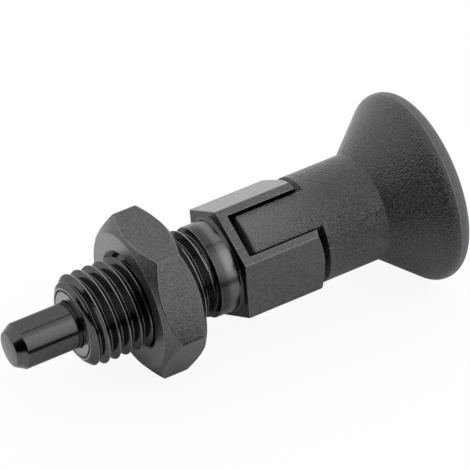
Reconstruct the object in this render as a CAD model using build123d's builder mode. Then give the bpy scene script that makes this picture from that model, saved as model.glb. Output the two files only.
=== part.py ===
from build123d import *
from math import asin, atan2, cos, degrees, hypot, radians, sin, tan
import os

# Indexing plunger with a lock-out rest, in millimetres.
# Every piece is turned about one axis. Stations along it count from the guide sleeve's front face, where the
# pin comes out, and grow towards the grip. Radii count from the axis.

# Guide sleeve: the turned front part
thread_d = 12.0
thread_length = 16.9
front_face_d = 8.5
front_land_d = 9.6
front_land_drop = 0.05
front_cone_d = 10.5
front_cone_station = 0.38
front_run = 1.2
groove_d = 10.0
groove_width = 0.85
collar_length = 3.05
collar_fillet = 0.5
guide_length = 6.1
guide_countersink = 0.42
chamber_d = 8.3

# Guide sleeve: the hexagon with its slot and rest notches
hexagon_across_flats = 14.0
hexagon_length = 11.3
hexagon_face_d = 13.3
hexagon_chamfer_angle = 30
hexagon_roll = 27.5
slot_width = 6.0
slot_run_out = 0.98
rest_depth = 0.3

# Locknut
locknut_across_flats = 19.0
locknut_thickness = 6.0
locknut_face_d = 17.9
locknut_corner_round = 0.5
locknut_chamfer_angle = 36
locknut_countersink = 0.6
locknut_setback = 7.95

# Indexing pin
pin_d = 6.0
pin_reach = 8.8
nose_d = 4.5
nose_angle = 31
nose_crown = 0.1
shoulder_d = 7.6
shoulder_length = 1.5
shank_d = 4.0
shank_seat = 13.9

# Compression spring and retaining bush
wire_d = 0.8
spring_turns = 8
wire_sides = 6
bush_length = 3.8
bush_recess = 0.2
bush_chamfer = 0.3

# Mushroom grip
grip_d = 25.0
grip_round = 2.0
grip_cone_angle = 40.5
grip_crown = 0.6
neck_d = 14.1
neck_length = 8.56
neck_gap = 0.6
tongue_width = 5.28
tongue_round = 0.3
tongue_side_clearance = 0.25

# Clearances on the radius
pin_clearance = 0.03
shank_clearance = 0.05
locknut_clearance = 0.04
spring_clearance = 0.25

# Stations
groove_front = thread_length
collar_front = groove_front + groove_width
hexagon_front = collar_front + collar_length
hexagon_rear = hexagon_front + hexagon_length
rest_floor = hexagon_rear - rest_depth
tongue_tip = rest_floor - pin_reach
slot_floor = tongue_tip - slot_run_out
bush_rear = hexagon_rear - bush_recess
bush_front = bush_rear - bush_length
spring_front = guide_length + shoulder_length
spring_length = bush_front - spring_front
neck_front = hexagon_rear + neck_gap
neck_rear = neck_front + neck_length
shank_rear = neck_front + shank_seat
locknut_front = locknut_setback
locknut_rear = locknut_front + locknut_thickness

# The grip's cone meets the rim's round tangentially, and its end face is a shallow dome
rim_r = grip_d / 2 - grip_round
cone_slope = radians(grip_cone_angle)
rim_station = neck_rear + (rim_r - neck_d / 2 + grip_round / cos(cone_slope)) / tan(cone_slope)
cone_end = (rim_station - grip_round * sin(cone_slope), rim_r + grip_round * cos(cone_slope))
grip_end = rim_station + grip_round + grip_crown
dome_r = (grip_crown * (grip_crown + 2 * grip_round) + rim_r**2) / (2 * grip_crown)
dome_lean = asin(rim_r / (dome_r - grip_round))
round_end = (rim_station + grip_round * cos(dome_lean), rim_r + grip_round * sin(dome_lean))

# The pin's chamfered nose ends in a shallow dome too
nose_run = (pin_d - nose_d) / 2 / tan(radians(nose_angle))
nose_edge = nose_crown - pin_reach
nose_dome_r = (nose_d**2 / 4 + nose_crown**2) / (2 * nose_crown)

# At rest the plunger lies on one flat of the locknut and on the grip's rim, with the pin end lower
locknut_slope = tan(radians(locknut_chamfer_angle))
foot_r = locknut_across_flats / 2
foot_station = locknut_front + (foot_r - locknut_face_d / 2) * locknut_slope
foot_to_rim = rim_station - foot_station
rim_drop = rim_r - foot_r
tilt = atan2(rim_drop, foot_to_rim) + asin(grip_round / hypot(foot_to_rim, rim_drop))
axis_height = foot_r * cos(tilt) - foot_station * sin(tilt)
tip_x = (nose_dome_r - pin_reach) * cos(tilt) - nose_dome_r
end_x = (grip_end - dome_r) * cos(tilt) + dome_r

axis_dir = Vector(cos(tilt), 0, sin(tilt))
up_dir = Vector(-sin(tilt), 0, cos(tilt))
front_centre = Vector(-(tip_x + end_x) / 2, 0, axis_height)
profile = Plane(origin=front_centre, x_dir=axis_dir, z_dir=(0, -1, 0))
spin = Axis(front_centre, axis_dir)


def station(distance):
    """The plane square to the axis at this distance, with its own x pointing up."""
    return Plane(origin=front_centre + axis_dir * distance, x_dir=up_dir, z_dir=axis_dir)


# Guide sleeve: the hexagon, its rear corners turned off
with BuildPart() as guide_sleeve:
    hexagon_corner_r = hexagon_across_flats / 2 / cos(radians(30))
    corner_drop = (hexagon_corner_r - hexagon_face_d / 2) * tan(radians(hexagon_chamfer_angle))
    with BuildSketch(station(hexagon_front)):
        RegularPolygon(hexagon_across_flats / 2, 6, major_radius=False, rotation=hexagon_roll + 30)
    extrude(amount=hexagon_length)
    with BuildSketch(profile):
        Polygon(
            (hexagon_front, 0),
            (hexagon_front, hexagon_corner_r),
            (hexagon_rear - corner_drop, hexagon_corner_r),
            (hexagon_rear, hexagon_face_d / 2),
            (hexagon_rear, 0),
            align=None,
        )
    revolve(axis=spin, mode=Mode.INTERSECT)
    # the thread with its rounded front end, the relief groove and the filleted collar
    with BuildSketch(profile):
        with BuildLine():
            shoulders = Polyline(
                (0, 0),
                (0, front_face_d / 2),
                (front_land_drop, front_land_d / 2),
                (front_cone_station, front_cone_d / 2),
                (front_run, thread_d / 2),
                (groove_front, thread_d / 2),
                (groove_front, groove_d / 2),
                (collar_front, groove_d / 2),
                (collar_front, thread_d / 2),
                (hexagon_front - collar_fillet, thread_d / 2),
            )
            fillet_arc = TangentArc(
                shoulders @ 1, (hexagon_front, thread_d / 2 + collar_fillet), tangent=(1, 0)
            )
            Polyline(fillet_arc @ 1, (hexagon_front, 0), (0, 0))
        make_face()
    revolve(axis=spin)
    # the guide bore with its countersunk mouth, and the spring chamber
    guide_r = pin_d / 2 + pin_clearance
    with BuildSketch(profile):
        Polygon(
            (0, 0),
            (0, guide_r + guide_countersink),
            (guide_countersink, guide_r),
            (guide_length, guide_r),
            (guide_length, chamber_d / 2),
            (hexagon_rear, chamber_d / 2),
            (hexagon_rear, 0),
            align=None,
        )
    revolve(axis=spin, mode=Mode.SUBTRACT)
    # the slot for the tongues, and the rest notches a quarter of a turn from it
    with BuildSketch(station(slot_floor)):
        Rectangle(2 * hexagon_corner_r, slot_width, rotation=hexagon_roll)
    extrude(amount=hexagon_rear - slot_floor, mode=Mode.SUBTRACT)
    with BuildSketch(station(rest_floor)):
        Rectangle(2 * hexagon_corner_r, slot_width, rotation=hexagon_roll + 90)
    extrude(amount=rest_depth, mode=Mode.SUBTRACT)

# Locknut: corners turned off on both faces, and a bore that clears the thread's crests
with BuildPart() as locknut:
    locknut_corner_r = foot_r / cos(radians(30))
    locknut_corner_drop = (locknut_corner_r - locknut_face_d / 2) * locknut_slope
    with BuildSketch(station(locknut_front)) as locknut_outline:
        RegularPolygon(foot_r, 6, major_radius=False, rotation=30)
        fillet(locknut_outline.vertices(), locknut_corner_round)
    extrude(amount=locknut_thickness)
    with BuildSketch(profile):
        Polygon(
            (locknut_front, 0),
            (locknut_front, locknut_face_d / 2),
            (locknut_front + locknut_corner_drop, locknut_corner_r),
            (locknut_rear - locknut_corner_drop, locknut_corner_r),
            (locknut_rear, locknut_face_d / 2),
            (locknut_rear, 0),
            align=None,
        )
    revolve(axis=spin, mode=Mode.INTERSECT)
    locknut_bore_r = thread_d / 2 + locknut_clearance
    with BuildSketch(profile):
        Polygon(
            (locknut_front, 0),
            (locknut_front, locknut_bore_r + locknut_countersink),
            (locknut_front + locknut_countersink, locknut_bore_r),
            (locknut_rear - locknut_countersink, locknut_bore_r),
            (locknut_rear, locknut_bore_r + locknut_countersink),
            (locknut_rear, 0),
            align=None,
        )
    revolve(axis=spin, mode=Mode.SUBTRACT)

# Indexing pin: chamfered nose, guided body, the shoulder that stops it, and the shank that the grip sits on
with BuildPart() as indexing_pin:
    with BuildSketch(profile):
        with BuildLine():
            nose_dome = RadiusArc((-pin_reach, 0), (nose_edge, nose_d / 2), nose_dome_r)
            Polyline(
                nose_dome @ 1,
                (nose_edge + nose_run, pin_d / 2),
                (guide_length, pin_d / 2),
                (guide_length, shoulder_d / 2),
                (spring_front, shoulder_d / 2),
                (spring_front, shank_d / 2),
                (shank_rear, shank_d / 2),
                (shank_rear, 0),
                nose_dome @ 0,
            )
        make_face()
    revolve(axis=spin)

# Compression spring: one wire coiled between the pin's shoulder and the bush, its ends ground flat
with BuildPart() as compression_spring:
    coil_r = chamber_d / 2 - spring_clearance - wire_d / 2
    with BuildLine():
        coil = Helix(
            pitch=spring_length / spring_turns,
            height=spring_length,
            radius=coil_r,
            center=front_centre + axis_dir * spring_front,
            direction=axis_dir,
        )
    with BuildSketch(Plane(origin=coil @ 0, z_dir=coil % 0)):
        RegularPolygon(wire_d / 2, wire_sides)
    sweep(path=coil, is_frenet=True)
    with BuildSketch(station(spring_front)):
        Circle(chamber_d / 2)
    extrude(amount=spring_length, mode=Mode.INTERSECT)

# Retaining bush: pressed between the two halves of the slotted hexagon, it carries the spring
with BuildPart() as retaining_bush:
    bush_bore_r = shank_d / 2 + shank_clearance
    with BuildSketch(profile):
        Polygon(
            (bush_front, bush_bore_r),
            (bush_front, chamber_d / 2 - bush_chamfer),
            (bush_front + bush_chamfer, chamber_d / 2),
            (bush_rear, chamber_d / 2),
            (bush_rear, bush_bore_r),
            align=None,
        )
    revolve(axis=spin)

# Mushroom grip: neck, cone, rounded rim and domed end, bored for the shank
with BuildPart() as mushroom_grip:
    with BuildSketch(profile):
        with BuildLine():
            Polyline((neck_front, 0), (neck_front, neck_d / 2), (neck_rear, neck_d / 2), cone_end)
            rim_top = (rim_station + grip_round * sin(cone_slope / 2), rim_r + grip_round * cos(cone_slope / 2))
            rim_arc = ThreePointArc(cone_end, rim_top, round_end)
            RadiusArc(rim_arc @ 1, (grip_end, 0), dome_r)
            Line((grip_end, 0), (neck_front, 0))
        make_face()
    revolve(axis=spin)
    # the two tongues that run in the hexagon's slot, clear of the bush
    tongue_inner_r = chamber_d / 2 + tongue_side_clearance
    with BuildSketch(station(tongue_tip)) as tongues:
        Circle(neck_d / 2)
        Circle(tongue_inner_r, mode=Mode.SUBTRACT)
        Rectangle(neck_d, tongue_width, rotation=hexagon_roll, mode=Mode.INTERSECT)
        fillet(tongues.vertices().sort_by_distance((0, 0, 0))[-4:], tongue_round)
    extrude(amount=neck_front - tongue_tip)
    with BuildSketch(station(neck_front)):
        Circle(shank_d / 2)
    extrude(amount=shank_seat, mode=Mode.SUBTRACT)

os.makedirs("parts", exist_ok=True)
pieces = {
    "guide_sleeve": guide_sleeve,
    "locknut": locknut,
    "indexing_pin": indexing_pin,
    "compression_spring": compression_spring,
    "retaining_bush": retaining_bush,
    "mushroom_grip": mushroom_grip,
}
for name, piece in pieces.items():
    piece.part.label = name
    export_step(piece.part, f"parts/{name}.step")

print(f"tilt {degrees(tilt):.4f} deg, front centre {front_centre.X:.4f} {front_centre.Z:.4f}")
print(f"axis {axis_dir.X:.6f} {axis_dir.Z:.6f}, lock-out pull {pin_reach}, overall {pin_reach + grip_end:.2f}")
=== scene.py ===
from math import cos, hypot, pi, radians, sin, tan

import bpy
from mathutils import Matrix, Vector


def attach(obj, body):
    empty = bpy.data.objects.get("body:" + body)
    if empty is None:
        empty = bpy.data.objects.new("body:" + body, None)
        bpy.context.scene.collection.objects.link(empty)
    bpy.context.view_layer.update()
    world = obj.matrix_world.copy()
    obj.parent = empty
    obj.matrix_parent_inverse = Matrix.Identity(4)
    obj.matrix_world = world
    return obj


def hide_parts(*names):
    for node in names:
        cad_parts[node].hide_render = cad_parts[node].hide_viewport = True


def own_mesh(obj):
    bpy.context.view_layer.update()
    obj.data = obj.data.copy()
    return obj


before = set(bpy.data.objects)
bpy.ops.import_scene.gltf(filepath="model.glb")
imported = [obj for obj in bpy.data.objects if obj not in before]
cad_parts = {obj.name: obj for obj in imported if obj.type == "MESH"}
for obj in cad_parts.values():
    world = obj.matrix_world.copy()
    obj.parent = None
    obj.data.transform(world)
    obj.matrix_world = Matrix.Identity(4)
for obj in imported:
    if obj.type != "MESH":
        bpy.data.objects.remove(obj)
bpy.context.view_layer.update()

# Camera
# A long lens looks down on the plunger from its pin end, and is rolled a little to the left.
view_azimuth = radians(30.878)
view_elevation = radians(37.993)
view_roll = radians(1.437)
camera_place = Vector((-0.222962, -0.375829, 0.356164))
looking = Vector((
    sin(view_azimuth) * cos(view_elevation),
    cos(view_azimuth) * cos(view_elevation),
    -sin(view_elevation),
))
camera = bpy.data.objects.new("camera", bpy.data.cameras.new("camera"))
bpy.context.collection.objects.link(camera)
camera.matrix_world = (
    Matrix.Translation(camera_place)
    @ looking.to_track_quat("-Z", "Y").to_matrix().to_4x4()
    @ Matrix.Rotation(view_roll, 4, "Z")
)
camera.data.lens = 344.68
camera.data.sensor_width = 36
camera.data.clip_start = 0.01
camera.data.clip_end = 20
bpy.context.scene.camera = camera

# Guide sleeve
# One steel sleeve, turned and milled from hexagon bar and blackened. Every piece is modelled on a bench,
# lying along X in millimetres, with stations counted from the sleeve's front face and radii from its axis.
# It is then laid down as the plunger rests, on the locknut and the grip's rim.
front_face_place = Vector((-0.0211269, 0, 0.0088482))
axis_tilt = radians(-4.2940)
lie_down = Matrix.Translation(front_face_place) @ Matrix.Rotation(axis_tilt, 4, "Y") @ Matrix.Scale(0.001, 4)
to_bench = lie_down.inverted()
along = (lie_down.to_3x3() @ Vector((1, 0, 0))).normalized()

pitch = 1.5
crest_r = 6.0
root_r = 5.09
first_crest = -2.868
thread_turns = 15
thread_end = 16.9
ring_r = 4.22
front_groove = 0.25
front_edge_r, front_cone_r = 4.5, 4.72
relief_r = 5.0
bore_r = 3.03
bore_mouth = 0.13
guide_end = 6.1
chamber_r = 4.15
thread_seam, hexagon_seam = 17.2, 17.4
collar_front, collar_r = 17.75, 6.0
hexagon_front, hexagon_r = 20.8, 7.0


def edit(piece, action="DESELECT"):
    """Open one piece alone in edit mode, with nothing or all of it selected."""
    if bpy.context.mode != "OBJECT":
        bpy.ops.object.mode_set(mode="OBJECT")
    bpy.ops.object.select_all(action="DESELECT")
    piece.select_set(True)
    bpy.context.view_layer.objects.active = piece
    bpy.ops.object.mode_set(mode="EDIT")
    bpy.ops.mesh.select_mode(type="VERT")
    bpy.ops.mesh.select_all(action=action)


def face_outwards(piece):
    """Turn all faces of a closed piece outwards."""
    edit(piece, "SELECT")
    bpy.ops.mesh.normals_make_consistent(inside=False)
    bpy.ops.object.mode_set(mode="OBJECT")


def drawn(name, outline):
    """A line of edges through points of (station, radius), standing above the axis."""
    bpy.ops.object.select_all(action="DESELECT")
    bpy.ops.mesh.primitive_plane_add(size=1, location=(0, 0, 0))
    piece = bpy.context.object
    piece.name = name
    edit(piece, "SELECT")
    bpy.ops.mesh.merge(type="CENTER")
    bpy.ops.transform.translate(value=(outline[0][0], 0, outline[0][1]))
    for (here, low), (there, high) in zip(outline, outline[1:]):
        bpy.ops.mesh.extrude_region_move(TRANSFORM_OT_translate={"value": (there - here, 0, high - low)})
    bpy.ops.object.mode_set(mode="OBJECT")
    return piece


def coiled(name, outline, pitch, turns, steps=96):
    """The outline carried round the axis and along it, once for each turn."""
    piece = drawn(name, outline)
    screw = piece.modifiers.new("turns", "SCREW")
    screw.axis = "X"
    screw.angle = 2 * pi
    screw.screw_offset = pitch
    screw.iterations = turns
    screw.steps = screw.render_steps = steps
    bpy.ops.object.modifier_apply(modifier=screw.name)
    edit(piece, "SELECT")
    bpy.ops.mesh.remove_doubles(threshold=0.001)
    bpy.ops.object.mode_set(mode="OBJECT")
    return piece


def turned(name, outline, steps=144):
    """A solid turned about the axis from an outline that starts and ends on the axis or closes on itself."""
    piece = coiled(name, outline, 0, 1, steps)
    face_outwards(piece)
    return piece


def cut_off(piece, station, keep_rear, close=True):
    """Cut the piece square across at a station, and close the cut unless it is to be joined on there."""
    edit(piece, "SELECT")
    bpy.ops.mesh.bisect(
        plane_co=(station, 0, 0), plane_no=(1, 0, 0),
        use_fill=close, clear_inner=keep_rear, clear_outer=not keep_rear,
    )
    bpy.ops.object.mode_set(mode="OBJECT")


def combine(piece, tool, operation):
    """Cut the tool from the piece, or keep only what both share. The tool is then gone."""
    bpy.ops.object.select_all(action="DESELECT")
    bpy.context.view_layer.objects.active = piece
    step = piece.modifiers.new(operation, "BOOLEAN")
    step.operation = operation
    step.object = tool
    step.solver = "EXACT"
    bpy.ops.object.modifier_apply(modifier=step.name)
    bpy.data.objects.remove(tool)


# the thread is one ridge, from root over crest to root, carried along the axis and cut off at both ends
half_ridge = [
    (pitch / 2, root_r),
    (0.66, root_r + 0.02),
    (0.60, root_r + 0.07),
    (0.1, crest_r - 0.045),
    (0.055, crest_r - 0.008),
]
ridge = [(first_crest - away, radius) for away, radius in half_ridge]
ridge.append((first_crest, crest_r))
ridge += [(first_crest + away, radius) for away, radius in reversed(half_ridge)]
guide_sleeve = coiled("blackened_sleeve", ridge, pitch, thread_turns)
cut_off(guide_sleeve, -0.5, keep_rear=True)
cut_off(guide_sleeve, thread_seam + 0.4, keep_rear=False)
face_outwards(guide_sleeve)

# the blank gives it the front face with its ring, groove and cone, and the relief groove behind it
blank_r = crest_r + 0.05
blank = [
    (0, 0),
    (0, ring_r),
    (front_groove, ring_r + 0.04),
    (front_groove, front_edge_r - 0.12),
    (0.03, front_edge_r),
    (0.04, front_cone_r),
    (0.38, 5.25),
    (1.25, blank_r),
    (thread_end, blank_r),
    (thread_end, relief_r),
    (thread_seam, relief_r),
    (thread_seam, 0),
]
combine(guide_sleeve, turned("blank", blank, steps=192), "INTERSECT")

# the bore guides the pin, and widens to a chamber for the spring
bore = [
    (-1, 0),
    (-1, bore_r + bore_mouth + 1),
    (bore_mouth, bore_r),
    (guide_end, bore_r),
    (guide_end, chamber_r),
    (thread_seam + 0.8, chamber_r),
    (thread_seam + 0.8, 0),
]
combine(guide_sleeve, turned("bore", bore), "DIFFERENCE")

# the hexagon end with its collar and slot is the solid's own, merged, and cut off behind the thread
sleeve_end = bpy.data.objects.new("sleeve_end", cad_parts["guide_sleeve"].data.copy())
bpy.context.collection.objects.link(sleeve_end)
sleeve_end.data.transform(to_bench)
edit(sleeve_end, "SELECT")
bpy.ops.mesh.customdata_custom_splitnormals_clear()
bpy.ops.mesh.remove_doubles(threshold=0.0005)
bpy.ops.mesh.dissolve_limited(angle_limit=radians(0.3))
bpy.ops.object.mode_set(mode="OBJECT")
cut_off(sleeve_end, hexagon_seam, keep_rear=True, close=False)


def grey(tone):
    """A plain grey."""
    return (tone, tone, tone, 1)


def new_finish(name):
    """A new material, and its node tree to be filled."""
    material = bpy.data.materials.new(name)
    material.use_nodes = True
    return material, material.node_tree


def set_inputs(tree, node, inputs):
    """Set a node's inputs. Each takes a value, or another node's output that it follows."""
    for socket, value in inputs.items():
        if isinstance(value, bpy.types.NodeSocket):
            tree.links.new(value, node.inputs[socket])
        else:
            node.inputs[socket].default_value = value


def add_node(tree, kind, inputs, **choices):
    """Add a node of a kind to the tree, with its inputs and the choices that it works by."""
    node = tree.nodes.new("ShaderNode" + kind)
    for choice, value in choices.items():
        setattr(node, choice, value)
    set_inputs(tree, node, inputs)
    return node


def object_place(tree):
    """Where a point lies on the finished piece."""
    return add_node(tree, "TexCoord", {}).outputs["Object"]


def noise(tree, place, scale, detail=2):
    """Soft random clouds, smaller with a larger scale."""
    return add_node(tree, "TexNoise", {"Vector": place, "Scale": scale, "Detail": detail}).outputs["Fac"]


def reckon(tree, operation, *values):
    """One step of arithmetic."""
    return add_node(tree, "Math", dict(enumerate(values)), operation=operation).outputs["Value"]


def spread(tree, value, low, high, to_low, to_high, **choices):
    """A number that goes from to_low to to_high while the value goes from low to high."""
    limits = {"From Min": low, "From Max": high, "To Min": to_low, "To Max": to_high}
    return add_node(tree, "MapRange", {"Value": value, **limits}, **choices).outputs["Result"]


def ramp(tree, value, marks):
    """A colour that passes from mark to mark as the value rises. A mark is a value with its colour."""
    node = add_node(tree, "ValToRGB", {"Fac": value})
    elements = node.color_ramp.elements
    elements[0].position, elements[0].color = marks[0]
    elements[1].position, elements[1].color = marks[-1]
    for where, colour in marks[1:-1]:
        elements.new(where).color = colour
    return node.outputs["Color"]


def steel(name, tone, roughness, grain, edge_tint=1):
    """Steel, dark where black-oxidised: a mottled mirror with fine grain, dimmer at a slant by edge_tint."""
    material, tree = new_finish(name)
    place = object_place(tree)
    clouds = noise(tree, place, 2200)
    pits = noise(tree, place, 5200)
    both = reckon(tree, "ADD", clouds, pits)
    mottle = 0.08 + grain * 0.2
    tones = spread(tree, both, 0.7, 1.3, tone * (1 - mottle), tone * (1 + mottle))
    bump = add_node(tree, "Bump", {"Height": pits, "Strength": grain, "Distance": 0.00003})
    set_inputs(tree, tree.nodes["Principled BSDF"], {
        "Metallic": 1,
        "Specular Tint": grey(edge_tint),
        "Base Color": tones,
        "Roughness": spread(tree, clouds, 0, 1, roughness * 0.8, roughness * 1.2),
        "Normal": bump.outputs["Normal"],
    })
    return material


def clothe(piece, *finishes):
    """Give the piece its finishes, the first one all over."""
    piece.data.materials.clear()
    for finish in finishes:
        piece.data.materials.append(finish)
    for face in piece.data.polygons:
        face.material_index = 0


def ease_edges(piece, width, angle=28, segments=2):
    """Round the piece's sharp edges a little, in its second finish if it has one, and shade it smooth."""
    edit(piece, "SELECT")
    bpy.ops.mesh.remove_doubles(threshold=0.004)
    bpy.ops.mesh.dissolve_limited(angle_limit=radians(0.05))
    bpy.ops.object.mode_set(mode="OBJECT")
    bevel = piece.modifiers.new("edges", "BEVEL")
    bevel.use_clamp_overlap = False
    bevel.width = width
    bevel.segments = segments
    bevel.limit_method = "ANGLE"
    bevel.angle_limit = radians(angle)
    bevel.miter_outer = "MITER_ARC"
    if len(piece.data.materials) > 1:
        bevel.material = 1
    bpy.ops.object.modifier_apply(modifier=bevel.name)
    bpy.ops.object.shade_smooth_by_angle(angle=radians(50))
    flats = piece.modifiers.new("flats", "WEIGHTED_NORMAL")
    flats.keep_sharp = True
    bpy.ops.object.modifier_apply(modifier=flats.name)


def pick(piece, kind, test):
    """Open the piece in edit mode with only those edges or faces selected whose corners pass the test."""
    edit(piece)
    bpy.ops.mesh.select_mode(type=kind)
    bpy.ops.object.mode_set(mode="OBJECT")
    for part in piece.data.edges if kind == "EDGE" else piece.data.polygons:
        part.select = test(*(piece.data.vertices[i].co for i in part.vertices))
    bpy.ops.object.mode_set(mode="EDIT")


# the threaded front is opened at its rear, and both ends get the finish of turned steel with worn edges
pick(guide_sleeve, "FACE", lambda *corners: all(corner.x > thread_seam - 0.05 for corner in corners))
bpy.ops.mesh.delete(type="FACE")
bpy.ops.object.mode_set(mode="OBJECT")
turned_steel = steel("turned_steel", tone=0.096, roughness=0.14, grain=0.3, edge_tint=0.6)
worn_steel = steel("worn_edges", tone=0.17, roughness=0.3, grain=0.6)
for part, width, angle in ((sleeve_end, 0.09, 28), (guide_sleeve, 0.05, 50)):
    clothe(part, turned_steel, worn_steel)
    ease_edges(part, width, angle)

# the two are joined by short bands across the relief groove and inside the chamber
bpy.ops.object.select_all(action="DESELECT")
guide_sleeve.select_set(True)
sleeve_end.select_set(True)
bpy.context.view_layer.objects.active = guide_sleeve
bpy.ops.object.join()
for wall_r in (relief_r, chamber_r):
    pick(guide_sleeve, "EDGE", lambda *ends: all(
        thread_seam - 0.01 < end.x < hexagon_seam + 0.01 and abs(hypot(end.y, end.z) - wall_r) < 0.15
        for end in ends
    ))
    bpy.ops.mesh.bridge_edge_loops()
    bpy.ops.mesh.faces_shade_smooth()
    bpy.ops.object.mode_set(mode="OBJECT")


def lay(piece):
    """Give the piece its size in metres and its place on the floor, in its mesh."""
    bpy.ops.object.select_all(action="DESELECT")
    piece.select_set(True)
    bpy.context.view_layer.objects.active = piece
    piece.matrix_world = lie_down
    bpy.ops.object.transform_apply(location=True, rotation=True, scale=True)


def finish_faces(piece, finish, test):
    """Give one more finish to plain faces, tested by station, radius and how far they face along the axis."""
    piece.data.materials.append(finish)
    for face in piece.data.polygons:
        middle = to_bench @ face.center
        facing = (to_bench.to_3x3() @ face.normal).normalized()
        if face.material_index == 0 and test(middle.x, hypot(middle.y, middle.z), facing.x):
            face.material_index = len(piece.data.materials) - 1


def axis_place(station):
    """How far along the axis a station lies on the finished pieces."""
    return (lie_down @ Vector((station, 0, 0))).dot(along)


def station_of(tree):
    """How far along the axis a point lies on the finished pieces, to set against axis_place."""
    node = add_node(tree, "VectorMath", {0: object_place(tree), 1: along}, operation="DOT_PRODUCT")
    return node.outputs["Value"]


# the hexagon's flats are plain bar stock, the collar carries a painted highlight in a streaked band, the ring
# round the bore was faced after blackening, and the thread's crests and the front edge are worn
lay(guide_sleeve)
bar_flats = steel("bar_flats", tone=0.122, roughness=0.2, grain=0.8)
collar_steel = steel("collar_painted_highlight", tone=0.09, roughness=0.2, grain=0.1)
faced_steel = steel("faced_steel", tone=0.3, roughness=0.25, grain=0.6)
crest_steel = steel("worn_crests", tone=0.3, roughness=0.2, grain=0.3)

tree = collar_steel.node_tree
station = station_of(tree)
across_collar = spread(tree, station, axis_place(collar_front), axis_place(hexagon_front), 0, 1)
# painted highlight: the collar's grey is raised in a band across its middle
highlight_marks = ((0, 0.06), (0.3, 0.07), (0.52, 0.16), (0.8, 0.15), (0.92, 0.06), (1, 0.05))
painted_highlight = ramp(tree, across_collar, [(where, grey(tone)) for where, tone in highlight_marks])
streaks = add_node(tree, "TexNoise", {"W": station, "Scale": 5000}, noise_dimensions="1D").outputs["Fac"]
strength = spread(tree, streaks, 0.3, 0.7, 0.75, 1.25)
streaked = add_node(tree, "VectorMath", {0: painted_highlight, 1: strength}, operation="MULTIPLY")
set_inputs(tree, tree.nodes["Principled BSDF"], {"Base Color": streaked.outputs["Vector"]})

finish_faces(guide_sleeve, bar_flats, lambda station, radius, facing: (
    station > hexagon_front + 0.5 and radius > hexagon_r - 0.1 and abs(facing) < 0.02
))
finish_faces(guide_sleeve, collar_steel, lambda station, radius, facing: (
    collar_front + 0.05 < station < hexagon_front - 0.02
    and abs(radius - collar_r) < 0.2 and abs(facing) < 0.5
))
finish_faces(guide_sleeve, faced_steel, lambda station, radius, facing: (
    station < 0.02 and radius < ring_r + 0.08 and facing < -0.99
))
finish_faces(guide_sleeve, crest_steel, lambda station, radius, facing: (
    station < thread_seam - 0.2 and radius > crest_r - 0.015
    or station < 0.06 and front_edge_r < radius < front_cone_r + 0.02
))
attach(guide_sleeve, "sleeve")
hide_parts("guide_sleeve")

# Locknut
# A thin steel hexagon nut, blackened, its corners rounded and both faces chamfered. It sits on the thread and
# is turned up against the fixture to lock the sleeve.
across_flats = 19
nut_front, nut_rear = 7.95, 13.95
nut_middle = (nut_front + nut_rear) / 2
nut_face_r = 8.95
chamfer_run = 1.635
chamfer_top_r = 11.2
corner_cut = 0.289
nut_bore_r = 6.04
countersink = 0.6
overrun = 0.95
bpy.ops.object.select_all(action="DESELECT")
bpy.ops.mesh.primitive_cylinder_add(
    vertices=6, radius=across_flats / 2 / cos(radians(30)), depth=nut_rear - nut_front + 2,
    location=(nut_middle, 0, 0), rotation=(0, pi / 2, 0),
)
locknut = bpy.context.object
locknut.name = "hexagon_locknut"
bpy.ops.object.transform_apply(location=True, rotation=True, scale=True)
pick(locknut, "EDGE", lambda front, rear: abs(front.x - rear.x) > 1)
bpy.ops.mesh.bevel(offset=corner_cut, segments=6, affect="EDGES")
bpy.ops.object.mode_set(mode="OBJECT")
chamfers = [
    (nut_front, 0),
    (nut_front, nut_face_r),
    (nut_front + chamfer_run, chamfer_top_r),
    (nut_rear - chamfer_run, chamfer_top_r),
    (nut_rear, nut_face_r),
    (nut_rear, 0),
]
combine(locknut, turned("nut_chamfers", chamfers, steps=240), "INTERSECT")
nut_bore = [
    (nut_front - overrun, 0),
    (nut_front - overrun, nut_bore_r + countersink + overrun),
    (nut_front + countersink, nut_bore_r),
    (nut_rear - countersink, nut_bore_r),
    (nut_rear + overrun, nut_bore_r + countersink + overrun),
    (nut_rear + overrun, 0),
]
combine(locknut, turned("nut_bore", nut_bore), "DIFFERENCE")
clothe(locknut, steel("nut_steel", tone=0.115, roughness=0.3, grain=1), worn_steel)
ease_edges(locknut, 0.09)
lay(locknut)
nut_face = steel("nut_face", tone=0.275, roughness=0.4, grain=0.5)
finish_faces(locknut, nut_face, lambda station, radius, facing: abs(facing) > 0.99)
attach(locknut, "locknut")
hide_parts("locknut")

# Indexing pin
# A hardened steel pin, ground and blackened. Its chamfered nose goes into the hole that is indexed, its
# shoulder stops inside the sleeve, and its thin shank carries the grip.
pin_reach = 8.8
pin_r = 3.0
nose_r = 2.25
nose_crown = 0.1
nose_slope = radians(31)
shoulder_r = 3.8
shoulder_end = 7.6
shank_r = 2.0
shank_end = 46.6
nose_end = nose_crown - pin_reach
pin_outline = [(nose_crown * (radius / nose_r) ** 2 - pin_reach, radius) for radius in (0, 0.75, 1.5, nose_r)]
pin_outline += [
    (nose_end + (pin_r - nose_r) / tan(nose_slope), pin_r),
    (guide_end, pin_r),
    (guide_end, shoulder_r),
    (shoulder_end, shoulder_r),
    (shoulder_end, shank_r),
    (shank_end, shank_r),
    (shank_end, 0),
]
indexing_pin = turned("ground_pin", pin_outline)
ease_edges(indexing_pin, 0.12, angle=20, segments=3)
lay(indexing_pin)
clothe(indexing_pin, steel("pin_steel", tone=0.088, roughness=0.14, grain=0.04, edge_tint=0.6))
nose_steel = steel("nose_steel", tone=0.1, roughness=0.2, grain=0.1)
finish_faces(indexing_pin, nose_steel, lambda station, radius, facing: station < nose_end + 1.1)
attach(indexing_pin, "plunger")
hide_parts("indexing_pin")
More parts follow.
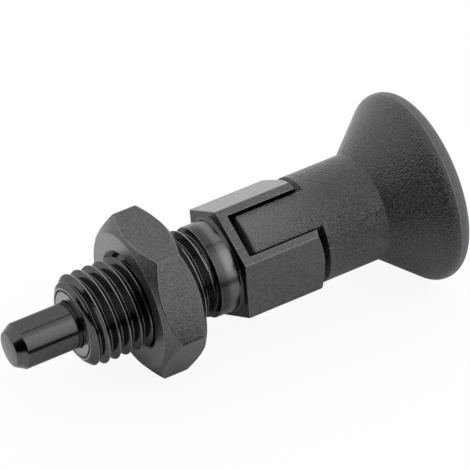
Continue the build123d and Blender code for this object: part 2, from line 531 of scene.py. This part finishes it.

# Compression spring
# Bright spring wire coiled inside the sleeve, between the pin's shoulder and the bush, with its ends ground
# flat.
wire_r = 0.4
coil_r = 3.5
coil_start = 6.2
coil_pitch = 2.5625
coil_turns = 9
spring_end = 28.1
wire_outline = [
    (coil_start + wire_r * sin(side * pi / 8), coil_r + wire_r * cos(side * pi / 8)) for side in range(17)
]
compression_spring = coiled("coiled_spring", wire_outline, coil_pitch, coil_turns, steps=64)
cut_off(compression_spring, shoulder_end, keep_rear=True)
cut_off(compression_spring, spring_end, keep_rear=False)
face_outwards(compression_spring)
bpy.ops.object.shade_smooth_by_angle(angle=radians(50))
lay(compression_spring)
clothe(compression_spring, steel("spring_wire", tone=0.45, roughness=0.25, grain=0.05))
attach(compression_spring, "sleeve")
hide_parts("compression_spring")
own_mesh(compression_spring)

# Retaining bush
# A plain turned steel bush, pressed into the rear of the sleeve. It guides the shank and carries the spring.
bush_end = 31.9
bush_r = 4.149
bush_front_r = 3.85
bush_chamfer = 0.3
bush_bore_r = 2.05
bush_outline = [
    (spring_end, bush_bore_r),
    (spring_end, bush_front_r),
    (spring_end + bush_chamfer, bush_r),
    (bush_end, bush_r),
    (bush_end, bush_bore_r),
    (spring_end, bush_bore_r),
]
retaining_bush = turned("turned_bush", bush_outline)
ease_edges(retaining_bush, 0.08)
lay(retaining_bush)
clothe(retaining_bush, steel("bush_steel", tone=0.3, roughness=0.25, grain=0.05))
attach(retaining_bush, "sleeve")
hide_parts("retaining_bush")

# Mushroom grip
# Black plastic, moulded in one piece: a round neck that spreads into a cone with a rounded rim and a domed
# end, and two tongues at the front that slide in the hexagon's slot. It is pressed onto the pin's shank.
tongue_tip = 23.0
tongue_inner_r = 4.4
tongue_half_width = 2.64
tongue_roll = radians(-27.5)
neck_front, neck_rear = 32.7, 41.26
neck_r = 7.05
rim_station, rim_r, rim_round = 48.379, 10.5, 2.0
rim_leans = (130.5, 120, 110, 100, 90, 84, 74, 64, 55, 46, 37, 28, 20, 13, 6.5)
grip_end = 50.979
dome_r = 94.175
rim_strip = 0.2
tongue_strip = 0.28
grip_outline = [
    (neck_front, 0),
    (neck_front, tongue_inner_r),
    (tongue_tip, tongue_inner_r),
    (tongue_tip, neck_r),
    (neck_rear, neck_r),
]
for lean in map(radians, rim_leans):
    grip_outline.append((rim_station + rim_round * cos(lean), rim_r + rim_round * sin(lean)))
for radius in (9, 7, 5, 3, 1.5, 0):
    grip_outline.append((grip_end - radius**2 / (2 * dome_r), radius))
mushroom_grip = turned("moulded_grip", grip_outline, steps=192)

# a block on each side takes the neck away beside the tongues, whose edges are then rounded
block_length, block_width, block_height = 11, 10, 20
for side in (-1, 1):
    block_middle = (neck_front - block_length / 2, side * (tongue_half_width + block_width / 2), 0)
    bpy.ops.object.select_all(action="DESELECT")
    bpy.ops.mesh.primitive_cube_add(
        size=1, location=block_middle, scale=(block_length, block_width, block_height)
    )
    block = bpy.context.object
    bpy.ops.object.transform_apply(location=True, rotation=True, scale=True)
    edit(block, "SELECT")
    bpy.ops.transform.rotate(value=tongue_roll, orient_axis="X", center_override=(0, 0, 0))
    bpy.ops.object.mode_set(mode="OBJECT")
    combine(mushroom_grip, block, "DIFFERENCE")


def round_sharp(piece, offset, test):
    """Round only those sharp edges that have both ends where the test wants them."""
    edit(piece)
    bpy.ops.mesh.select_mode(type="EDGE")
    bpy.ops.mesh.edges_select_sharp(sharpness=radians(28))
    bpy.ops.object.mode_set(mode="OBJECT")
    sharp = {edge.index for edge in piece.data.edges if edge.select}
    bpy.ops.object.mode_set(mode="EDIT")
    bpy.ops.mesh.select_all(action="DESELECT")
    bpy.ops.object.mode_set(mode="OBJECT")
    points = piece.data.vertices
    for edge in piece.data.edges:
        edge.select = edge.index in sharp and all(test(points[i].co) for i in edge.vertices)
    bpy.ops.object.mode_set(mode="EDIT")
    bpy.ops.mesh.bevel(offset=offset, segments=3, affect="EDGES")
    bpy.ops.object.mode_set(mode="OBJECT")


round_sharp(mushroom_grip, tongue_strip, lambda end: end.x < neck_front - 0.1)
bpy.ops.object.shade_smooth_by_angle(angle=radians(35))
lay(mushroom_grip)

# the plastic is pitted, and has a painted highlight that lightens it from the tongues to the middle of the
# neck
highlight_front, highlight_rear = 24, 37
grip_plastic, tree = new_finish("grip_plastic")
pits = noise(tree, object_place(tree), 4800, detail=0)
pitted = ramp(tree, pits, [(0.35, (0.018, 0.018, 0.0185, 1)), (0.65, (0.041, 0.041, 0.042, 1))])
# painted highlight: a lighter grey from the tongues to the middle of the neck
painted_highlight = spread(
    tree, station_of(tree), axis_place(highlight_front), axis_place(highlight_rear), 0.085, 0,
    interpolation_type="SMOOTHSTEP",
)
lighter = add_node(tree, "VectorMath", {0: pitted, 1: painted_highlight}, operation="ADD")
bump = add_node(tree, "Bump", {"Height": pits, "Strength": 1, "Distance": 0.00013})
set_inputs(tree, tree.nodes["Principled BSDF"], {
    "Base Color": lighter.outputs["Vector"],
    "Roughness": 0.25,
    "IOR": 1.62,
    "Normal": bump.outputs["Normal"],
})


def highlit_smooth_plastic(name, dark, light):
    """The same plastic where the mould was polished, clouded a little and painted lighter as a painted
    highlight.
    """
    material, tree = new_finish(name)
    clouds = noise(tree, object_place(tree), 900)
    set_inputs(tree, tree.nodes["Principled BSDF"], {
        "Base Color": ramp(tree, clouds, [(0.3, grey(dark)), (0.7, grey(light))]),
        "Roughness": 0.5,
        "IOR": 1.4,
    })
    return material


# the rim and the dome are smooth, with a painted highlight that lightens them, and a lighter strip of painted
# highlight along the rim and round the tongues' edges
clothe(mushroom_grip, grip_plastic)
rim_painted_highlight = highlit_smooth_plastic("rim_painted_highlight", 0.1, 0.125)
finish_faces(mushroom_grip, rim_painted_highlight, lambda station, radius, facing: station >= rim_station + rim_strip)
edge_painted_highlight = highlit_smooth_plastic("edge_painted_highlight", 0.14, 0.17)
finish_faces(mushroom_grip, edge_painted_highlight, lambda station, radius, facing: (
    station > rim_station or station < tongue_tip + tongue_strip and 0.2 < abs(facing) < 0.9
))
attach(mushroom_grip, "plunger")
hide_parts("mushroom_grip")

# Floor, backdrop and light
# A pale table in an even white surround. Dark cards and flags are the dim parts of the room that the steel
# mirrors, and a softbox in front on the right gives it long highlights.
bpy.ops.object.select_all(action="DESELECT")
bpy.ops.mesh.primitive_plane_add(size=4, location=(0, 0, 0))
floor = bpy.context.object
floor.name = "table"

# where steel mirrors it, the table glows as a painted reflection: brightly behind the plunger and beyond the
# pin's end, and dimly elsewhere
table_white, tree = new_finish("table_white")
matt = tree.nodes["Principled BSDF"]
set_inputs(tree, matt, {"Base Color": grey(0.86), "Roughness": 0.9, "Specular IOR Level": 0})
place = add_node(tree, "SeparateXYZ", {"Vector": object_place(tree)})
behind = spread(tree, place.outputs["Y"], 0.004, 0.03, 0.04, 0.95)
beyond_pin = spread(tree, place.outputs["X"], -0.03, -0.012, 0.6, 0)
brighter = reckon(tree, "MAXIMUM", behind, beyond_pin)
ray = add_node(tree, "LightPath", {})
mirrored = reckon(tree, "MULTIPLY", ray.outputs["Is Glossy Ray"], brighter)
glow = add_node(tree, "Emission", {"Strength": 1.04})
seen_table = add_node(tree, "MixShader", {
    "Fac": reckon(tree, "MULTIPLY_ADD", ray.outputs["Is Camera Ray"], 0.88, mirrored),
    1: matt.outputs["BSDF"],
    2: glow.outputs["Emission"],
})
set_inputs(tree, tree.nodes["Material Output"], {"Surface": seen_table.outputs["Shader"]})
floor.data.materials.append(table_white)


def hang(name, place, turn, width, height, finish):
    """Hang a flat panel in the room, seen only where it is mirrored and in the light it gives or takes."""
    bpy.ops.object.select_all(action="DESELECT")
    bpy.ops.mesh.primitive_plane_add(size=2, location=place, rotation=turn)
    panel = bpy.context.object
    panel.name = name
    panel.scale = (width / 2, height / 2, 1)
    panel.visible_camera = panel.visible_shadow = False
    panel.data.materials.append(finish)
    return panel


# each has its place, width and height, tilt and turn in degrees, tone, and whether it dims matt faces too
for name, place, width, height, tilt, turn, tone, dims_matt in (
    ("low_card", (-0.023, -0.045, 0.0072), 0.054, 0.0135, 90, 0, 0.1, False),
    ("low_card_right", (0.037, -0.045, 0.0082), 0.066, 0.0115, 90, 0, 0.4, False),
    ("near_flag", (-0.001, -0.032, 0.008), 0.03, 0.016, 90, -53, 0.02, False),
    ("overhead_strip", (0.069, 0.012, 0.4), 0.138, 0.035, 0, 0, 0.2, False),
    ("left_flag", (-0.112, -0.157, 0.13), 0.336, 0.26, 90, -42, 0.01, True),
    ("left_low_flag", (-0.2, 0.035, 0.03), 0.15, 0.06, 90, -260, 0.02, False),
):
    dull, tree = new_finish(name)
    set_inputs(tree, tree.nodes["Principled BSDF"], {"Base Color": grey(tone), "Specular IOR Level": 0})
    card = hang(name, place, (radians(tilt), 0, radians(turn)), width, height, dull)
    card.visible_diffuse = dims_matt

# the softbox stands near, is tall and narrow, and is brightest in its middle
softbox_place = Vector((0.097, -0.206, 0.215))
lit_place = Vector((0.022, 0, 0.012))
diffuser, tree = new_finish("diffuser")
place = add_node(tree, "SeparateXYZ", {"Vector": object_place(tree)})
falls = []
for axis, bright_half in (("X", 0.1), ("Y", 0.35)):
    from_middle = reckon(tree, "ABSOLUTE", place.outputs[axis])
    falls.append(spread(tree, from_middle, bright_half, 1, 1, 0, interpolation_type="SMOOTHSTEP"))
middle = reckon(tree, "MULTIPLY", *falls)
glow = add_node(tree, "Emission", {"Strength": reckon(tree, "MULTIPLY_ADD", middle, 0.82, 1)})
set_inputs(tree, tree.nodes["Material Output"], {"Surface": glow.outputs["Emission"]})
softbox_turn = (lit_place - softbox_place).to_track_quat("-Z", "Y").to_euler()
hang("front_softbox", softbox_place, softbox_turn, 0.2, 0.42, diffuser)

# the surround lights the pieces a little less than it shows
surround = bpy.data.worlds.new("white_surround")
surround.use_nodes = True
bpy.context.scene.world = surround
tree = surround.node_tree
dim = tree.nodes["Background"]
set_inputs(tree, dim, {"Color": grey(1), "Strength": 0.95})
white = add_node(tree, "Background", {"Color": grey(1), "Strength": 1})
ray = add_node(tree, "LightPath", {})
seen = reckon(tree, "MAXIMUM", ray.outputs["Is Camera Ray"], ray.outputs["Is Glossy Ray"])
sky = add_node(tree, "MixShader", {
    "Fac": reckon(tree, "MAXIMUM", seen, ray.outputs["Is Transmission Ray"]),
    1: dim.outputs["Background"],
    2: white.outputs["Background"],
})
set_inputs(tree, tree.nodes["World Output"], {"Surface": sky.outputs["Shader"]})
bpy.context.scene.view_settings.view_transform = "Standard"
